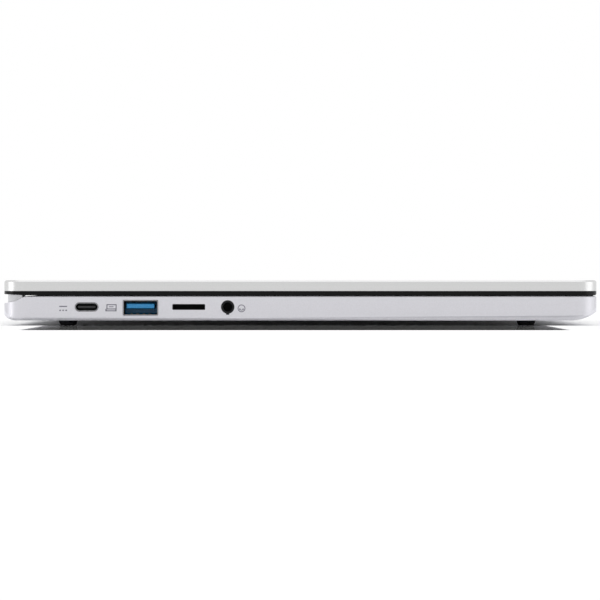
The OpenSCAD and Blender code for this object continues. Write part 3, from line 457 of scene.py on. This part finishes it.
def battery_film():
    """Black polyester film shrunk round the cells: smooth, a little glossy, faintly wavy."""
    made, tree, main = surface("polyester_film_shrunk_black")
    grain(tree, main, 6 * MM, 0.06 * MM, 0.22, 0.3, ("#141417", "#1b1b1f"))
    return made


def silicone():
    """Milky silicone sheet of the key domes, soft and slightly shiny."""
    made, tree, main = surface("silicone_moulded_milky", Subsurface_Weight=0.1)
    grain(tree, main, 0.6 * MM, 0.006 * MM, 0.4, 0.5, ("#d2cfc6", "#e2dfd6"))
    return made


def sign_ink():
    """Pad-printed grey ink: thin, matt, a little uneven."""
    made, tree, main = surface("ink_pad_printed_grey")
    grain(tree, main, 0.15 * MM, 0.001 * MM, 0.6, 0.7, ("#63616e", "#716f7c"))
    return made


def legend_ink():
    """Dark grey lacquer of the key legends, cut by laser: crisp and matt."""
    made, tree, main = surface("lacquer_laser_cut_dark_grey")
    grain(tree, main, 0.15 * MM, 0.001 * MM, 0.55, 0.65, ("#3f4045", "#4a4b50"))
    return made


def gold_plate():
    """Gold-plated copper of antennas and contacts: small, warm, bright."""
    made, tree, main = surface("copper_gold_plated", Metallic=1.0)
    grain(tree, main, 1 * MM, 0.003 * MM, 0.25, 0.35, ("#c29a4a", "#d3ae60"))
    return made


def lens_glass():
    """Coated camera lens: black glass with a violet cast and a sharp highlight."""
    made, tree, main = surface("glass_coated_lens",
                               Specular_IOR_Level=0.2, Coat_Weight=0.2, Coat_Roughness=0.03)
    grain(tree, main, 0.3 * MM, 0.0005 * MM, 0.06, 0.1, ("#0a0a14", "#12101f"))
    return made


METAL_LID = anodised_aluminium()
CASE = silver_paint()
TEXTURED = textured_paint()
CHROME = polished_zinc()
FRAME_BLACK = black_frame()
RUBBER = rubber()
KEY = key_plastic()
PAD = pad_film()
STEEL = stamped_steel()
PORT = port_steel()
PORT_PAINTED_SHADE = painted_socket_shade()
RESIN = black_resin()
TONGUE = grey_resin()
BLUE = blue_resin()
SCREEN = screen_glass()
COPPER = copper()
GREEN_BOARD = solder_mask("fr4_solder_mask_green", "#0e3a22", "#185232")
BLUE_BOARD = solder_mask("fr4_solder_mask_blue", "#0f2348", "#183462")
EPOXY = epoxy_black()
BATTERY = battery_film()
SILICONE = silicone()
INK = sign_ink()
LEGEND = legend_ink()
GOLD = gold_plate()
LENS = lens_glass()


# ---------- CAD nodes that keep their shape ----------

# They are shown as they are, and only get their finish
KEEP = {
    "keyboard_plate": STEEL, "key_domes": SILICONE, "touchpad_bracket": STEEL,
    "touchpad_switch": SILICONE, "mainboard": GREEN_BOARD, "processor": EPOXY,
    "memory_chips": EPOXY, "cold_plate": COPPER, "heat_pipe": COPPER, "fin_stack": COPPER,
    "fan_housing": EPOXY, "fan_rotor": EPOXY, "battery_pack": BATTERY, "left_speaker": EPOXY,
    "right_speaker": EPOXY, "solid_state_drive": BLUE_BOARD, "wireless_card": BLUE_BOARD,
    "io_board": GREEN_BOARD, "hinge_brackets": STEEL, "hinge_screws": STEEL, "hinge_arms": STEEL,
    "hinge_shafts": STEEL, "webcam_module": LENS, "antennas": GOLD, "lid_seal": RUBBER,
    "card_reader": RESIN,
}

# CAD nodes whose edges are rounded: material and edge radius in millimetres
ROUNDED = {
    "top_case": (CASE, 0.15), "bottom_cover": (TEXTURED, 0.1), "bottom_screws": (STEEL, 0.06),
    "front_feet": (RUBBER, 0.25), "rear_feet": (RUBBER, 0.25), "touchpad": (PAD, 0.2),
    "usb_c_port": (PORT, 0.06), "usb_c_tongue": (TONGUE, 0.08), "usb_a_port": (PORT, 0.08),
    "usb_a_tongue": (BLUE, 0.3), "audio_jack": (RESIN, 0.12), "right_usb_c_port": (PORT, 0.06),
    "right_usb_a_port": (PORT, 0.08), "right_usb_a_tongue": (BLUE, 0.3),
    "hinge_caps": (CHROME, 0.3), "lid_cover": (METAL_LID, 0.1), "display_panel": (SCREEN, 0.15),
    "screen_bezel": (FRAME_BLACK, 0.12), "webcam_shutter": (FRAME_BLACK, 0.05),
}

# Near its rear corners, faces of the top case meet at a little over 20 degrees. They are rounded
# as well, because a dark patch would show there.
TOP_CASE_ANGLE = 20

# How far inside a socket the bright rim of its shell runs before the painted shade starts
RIM = 0.4 * MM

for node, material in KEEP.items():
    for material_slot in NODES[node].material_slots:
        material_slot.material = material

finished = {}
for node, (material, radius) in ROUNDED.items():
    piece = copy_node(node)
    soft_edges(piece, radius * MM, angle=TOP_CASE_ANGLE if node == "top_case" else SHARP_ABOVE)
    finished[node] = stand_for(piece, node, material)

# Deeper than RIM inside, the socket shells are painted nearly black: painted shade in the openings
for node in ("usb_c_port", "usb_a_port", "right_usb_c_port", "right_usb_a_port"):
    second_finish(finished[node], PORT_PAINTED_SHADE, deeper_than(RIM))


# ---------- printed marks ----------

# A mark is drawn lying flat: right is +X, up is +Y. Its thickness is below what the eye sees.
INK_DEPTH = 0.02 * MM
SPIN_STEP = 15             # degrees per step of an arc
SLICE = 0.01 * MM          # a thin slice: an arc starts as one, and a cap's top face is found in it
FACING = 0.99              # a face whose normal has this much along an axis faces that way
POINTER_RADIUS = 1.1 * MM
POINTER_CORNER = 0.2       # in millimetres
FLAT = Matrix.Identity(4)
ON_LEFT_SIDE = Matrix(((0, 0, -1, 0), (-1, 0, 0, 0), (0, 1, 0, 0), (0, 0, 0, 1)))


def round_corners(piece, radius, segments):
    """Rounds the upright edges of a flat mark; the radius is in millimetres."""
    pick(piece, "EDGE", lambda edge: abs(edge.verts[0].co.z - edge.verts[1].co.z) > INK_DEPTH)
    bpy.ops.mesh.bevel(offset=radius * MM, segments=segments)
    leave_edit()
    return piece


def bar(x0, x1, y0, y1, corner=0.1):
    """A stroke with round corners; sizes in millimetres."""
    piece = block("bar", (x0 * MM, y0 * MM, -INK_DEPTH), (x1 * MM, y1 * MM, INK_DEPTH))
    return round_corners(piece, corner, 3)


def arc(x, y, radius, width, start=0, sweep=360):
    """A stroke along an arc, in millimetres and degrees: one end face spun round the centre."""
    piece = block("arc", ((x + radius - width / 2) * MM, y * MM, -INK_DEPTH),
                  ((x + radius + width / 2) * MM, y * MM + SLICE, INK_DEPTH))
    centre = (x * MM, y * MM, 0)
    pick(piece, "FACE", lambda face: face.normal.y > -FACING)
    bpy.ops.mesh.delete(type="FACE")
    bpy.ops.mesh.select_all(action="SELECT")
    bpy.ops.transform.rotate(value=-math.radians(start), orient_axis="Z", center_override=centre)
    bpy.ops.mesh.spin(steps=round(sweep / SPIN_STEP), angle=math.radians(sweep), center=centre,
                      axis=(0, 0, 1))
    bpy.ops.mesh.select_all(action="SELECT")
    bpy.ops.mesh.remove_doubles(threshold=WELD)
    bpy.ops.mesh.normals_make_consistent(inside=False)
    leave_edit()
    return piece


def pointer(turn):
    """A small solid triangle that points right, turned by some degrees."""
    bpy.ops.object.select_all(action="DESELECT")
    bpy.ops.mesh.primitive_cylinder_add(vertices=3, radius=POINTER_RADIUS, depth=2 * INK_DEPTH,
                                        rotation=(0, 0, math.radians(turn - 90)))
    return round_corners(settle(bpy.context.active_object, "pointer"), POINTER_CORNER, 2)


def put_mark(pieces, name, place, turn=FLAT):
    """Joins the strokes and lays the mark on its surface."""
    mark = join(pieces, name)
    mark.matrix_world = Matrix.Translation(place) @ turn
    return settle(mark, name)


def left_mark(pieces, name, from_rear, rise):
    """A mark on the left side.

    Its middle lies from_rear millimetres from the hinge edge, and rise millimetres above PORT_Z.
    """
    mark = put_mark(pieces, name, (LEFT, REAR - from_rear * MM, PORT_Z + rise * MM), ON_LEFT_SIDE)
    ride_as(mark, "top_case", INK)


# A line over three dashes: direct current
left_mark([bar(-1.5, 1.5, 0.25, 0.65)]
          + [bar(x - 0.3, x + 0.3, -1.3, -0.8) for x in (-1.15, 0, 1.15)],
          "direct_current_sign", 22.55, 0)

# A framed screen over a hollow keyboard
left_mark([
    bar(-1.75, 2.05, 0.8, 1.15), bar(-1.75, 2.05, -0.8, -0.45),
    bar(-1.75, -1.4, -0.7, 1.1), bar(1.7, 2.05, -0.7, 1.1),
    bar(-2.15, 2.0, -1.5, -1.15), bar(-2.15, -1.75, -1.45, -0.6),
    bar(1.65, 2.0, -1.45, -0.6), bar(-0.9, 0.9, 0.05, 0.35),
], "computer_sign", 40.65, 0.1)

# A band over two ear cups, in a ring
left_mark([
    arc(0, 0, 1.3, 0.3), arc(0, -0.1, 0.6, 0.24, 0, 180),
    bar(-0.8, -0.4, -0.7, 0, 0.12), bar(0.4, 0.8, -0.7, 0, 0.12),
], "headset_sign", 89.8, -0.3)


# ---------- key caps ----------

# The legend of each cap from left to right; a number is a pointer turned by so many degrees
LEGENDS = {
    "function_keys": ["esc"] + [f"f{i}" for i in range(1, 13)] + ["del"],
    "number_keys": list("`1234567890-="),
    "backspace_key": ["backspace"], "tab_key": ["tab"],
    "upper_letter_keys": list("QWERTYUIOP[]\\"),
    "caps_key": ["caps"], "home_letter_keys": list("ASDFGHJKL;'"), "enter_key": ["enter"],
    "left_shift_key": ["shift"], "lower_letter_keys": list("ZXCVBNM,./"),
    "right_shift_key": ["shift"],
    "modifier_keys": ["ctrl", "fn", "menu", "alt", "alt", "ctrl"],
    "arrow_keys": [180, -90, 90, 0], "power_key": ["power"], "space_bar": [],
}

DISH = 0.09 * MM           # how deep a cap's top is sunk
DISH_RIM = 1.3 * MM        # how far in from the cap's edge that starts
ARROW_DISH_RIM = 0.6 * MM  # the same on the low arrow caps
CAP_EDGE = 0.22 * MM       # radius of a cap's edges
LETTER_SIZE = 6.2 * MM
WORD_SIZE = 3.9 * MM
LETTER_STEPS = 3           # straight pieces per curve of a letter's outline


def dished_caps(node):
    """Copies the caps, sinks each top a little for the fingertip and rounds the edges."""
    piece = copy_node(node)
    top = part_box(node)[1].z
    pick(piece, "FACE", lambda face: (face.normal.z > FACING
                                      and face.calc_center_median().z > top - SLICE))
    bpy.ops.mesh.inset(thickness=ARROW_DISH_RIM if node == "arrow_keys" else DISH_RIM,
                       use_individual=False)
    bpy.ops.transform.translate(value=(0, 0, -DISH))
    leave_edit()
    soft_edges(piece, CAP_EDGE, 3)
    stand_for(piece, node, KEY)


def cap_centres(node):
    """The middle of each cap of a node, from left to right."""
    mesh = bmesh.new()
    mesh.from_mesh(NODES[node].data)
    bmesh.ops.remove_doubles(mesh, verts=mesh.verts, dist=WELD)
    left, centres = set(mesh.verts), []
    while left:
        group, fresh = set(), [left.pop()]
        while fresh:
            corner = fresh.pop()
            group.add(corner)
            for edge in corner.link_edges:
                other = edge.other_vert(corner)
                if other in left:
                    left.remove(other)
                    fresh.append(other)
        xs = [v.co.x for v in group]
        ys = [v.co.y for v in group]
        centres.append(((min(xs) + max(xs)) / 2, (min(ys) + max(ys)) / 2))
    mesh.free()
    return sorted(centres)


def word(text):
    """A key's word or letter as a flat mesh."""
    bpy.ops.object.select_all(action="DESELECT")
    bpy.ops.object.text_add()
    made = bpy.context.active_object
    made.data.body = text
    made.data.align_x, made.data.align_y = "CENTER", "CENTER"
    made.data.size = LETTER_SIZE if len(text) == 1 else WORD_SIZE
    made.data.extrude = INK_DEPTH
    made.data.resolution_u = LETTER_STEPS
    bpy.ops.object.convert(target="MESH")
    return bpy.context.active_object


def legends(node, marks):
    """The marks on the caps of a node, as thin lacquer on the dished tops."""
    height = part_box(node)[1].z - DISH
    made = []
    for mark, (x, y) in zip(marks, cap_centres(node)):
        if mark == "power":
            strokes = [arc(0, 0, 1.5, 0.32, 125, 290), bar(-0.16, 0.16, 0.5, 2.0)]
        elif isinstance(mark, int):
            strokes = [pointer(mark)]
        else:
            strokes = [word(mark)]
        made.append(put_mark(strokes, "legend", (x, y, height)))
    ride_as(join(made, node + "_legends"), node, LEGEND)


for node, marks in LEGENDS.items():
    dished_caps(node)
    if marks:
        legends(node, marks)


# ---------- contacts ----------

CONTACTS = 4
CONTACT_PITCH = 2.3 * MM
CONTACT_WIDTH = 1.0 * MM
CONTACT_LENGTH = 5.5 * MM
CONTACT_IN = 1.2 * MM      # how far inside the tongue's outer end the contacts start
CONTACT_CORNER = 0.08      # in millimetres


def contact_row(node):
    """Gold contacts on the lower face of a tongue: one is modelled, the rest are copies of it."""
    low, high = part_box(node)
    inward = 1 if low.x < 0 else -1
    start = (low.x if inward > 0 else high.x) + inward * CONTACT_IN
    ends = sorted((start, start + inward * CONTACT_LENGTH))
    first_y = (low.y + high.y) / 2 - (CONTACTS - 1) / 2 * CONTACT_PITCH
    first = block("contact", (ends[0], first_y - CONTACT_WIDTH / 2, low.z - INK_DEPTH),
                  (ends[1], first_y + CONTACT_WIDTH / 2, low.z + INK_DEPTH))
    made = [round_corners(first, CONTACT_CORNER, 2)]
    for i in range(1, CONTACTS):
        piece = first.copy()
        piece.data = first.data.copy()
        bpy.context.scene.collection.objects.link(piece)
        piece.location = (0, i * CONTACT_PITCH, 0)
        made.append(piece)
    ride_as(join(made, node + "_contacts"), node, GOLD)


contact_row("usb_a_tongue")
contact_row("right_usb_a_tongue")


# ---------- floor and surroundings ----------

FLOOR_REACH = 6.0          # metres from the machine's sides
FLOOR_WIDTH = 12.0
FLOOR_COLOUR = "#eeefee"
CLEAR_COAT = 1.5           # how strongly the coat bends light: the value of glass or lacquer

# A polished strip lies beside the left side and a little way under it, and mirrors the gap there
POLISHED_BESIDE = 192 * MM
POLISHED_UNDER = 8 * MM

# Roughness of the dull floor before the strip, of the strip, and of the dull floor beyond it
NEAR_ROUGH, STRIP_ROUGH, FAR_ROUGH = 0.6, 0.01, 0.8


def sheet(name, x0, x1, polish):
    """A strip of the floor: a pale body under a clear coat that mirrors only at a low angle."""
    bpy.ops.object.select_all(action="DESELECT")
    bpy.ops.mesh.primitive_plane_add(size=1, location=((x0 + x1) / 2, 0, 0))
    floor = bpy.context.active_object
    floor.scale = (x1 - x0, FLOOR_WIDTH, 1)
    settle(floor, name)
    made = bpy.data.materials.new(name)
    made.use_nodes = True
    tree = made.node_tree
    tree.nodes.clear()
    pale = add(tree, "ShaderNodeBsdfDiffuse", {"Color": linear(FLOOR_COLOUR)})
    coat = add(tree, "ShaderNodeBsdfAnisotropic", {"Color": linear("#ffffff"), "Roughness": polish})
    angle = add(tree, "ShaderNodeFresnel", {"IOR": CLEAR_COAT})
    both = add(tree, "ShaderNodeMixShader",
               {"Fac": angle.outputs[0], 1: pale.outputs[0], 2: coat.outputs[0]})
    add(tree, "ShaderNodeOutputMaterial", {"Surface": both.outputs[0]})
    floor.data.materials.append(made)


def white_surroundings():
    """Plain white all round, which lights evenly and shows in the metal."""
    world = bpy.data.worlds.new("studio")
    bpy.context.scene.world = world
    world.use_nodes = True
    tree = world.node_tree
    tree.nodes.clear()
    path = add(tree, "ShaderNodeLightPath")
    seen = path.outputs["Is Camera Ray"]
    for ray in ("Is Transmission Ray", "Is Glossy Ray"):
        either = add(tree, "ShaderNodeMath", {0: seen, 1: path.outputs[ray]}, operation="MAXIMUM")
        seen = either.outputs[0]
    # One strength lights the machine, the other is the white that is seen, also in metal
    plain = add(tree, "ShaderNodeBackground", {"Color": linear("#ffffff"), "Strength": 1.0})
    bright = add(tree, "ShaderNodeBackground", {"Color": linear("#ffffff"), "Strength": 1.0})
    mix = add(tree, "ShaderNodeMixShader",
              {"Fac": seen, 1: plain.outputs[0], 2: bright.outputs[0]})
    add(tree, "ShaderNodeOutputWorld", {"Surface": mix.outputs[0]})


sheet("floor_near", LEFT - FLOOR_REACH, LEFT - POLISHED_BESIDE, NEAR_ROUGH)
sheet("floor_polished", LEFT - POLISHED_BESIDE, LEFT + POLISHED_UNDER, STRIP_ROUGH)
sheet("floor_far", LEFT + POLISHED_UNDER, RIGHT + FLOOR_REACH, FAR_ROUGH)
white_surroundings()

# Each lamp: name, place, target, size of the panel in metres, power in watts
lamp("overhead", (0.1, 0, 1.6), (0, 0, 0), (1.6, 1.2), 3.5)
lamp("hinge_side", (LEFT - 0.12, 1.4, 0.13), (LEFT, 0, 0), (0.6, 0.24), 1.3)
lamp("front_side", (LEFT - 0.15, -1.4, 0.13), (LEFT, 0, 0), (1.2, 0.24), 1.2)
aim_camera()
bpy.context.scene.view_settings.view_transform = "Standard"
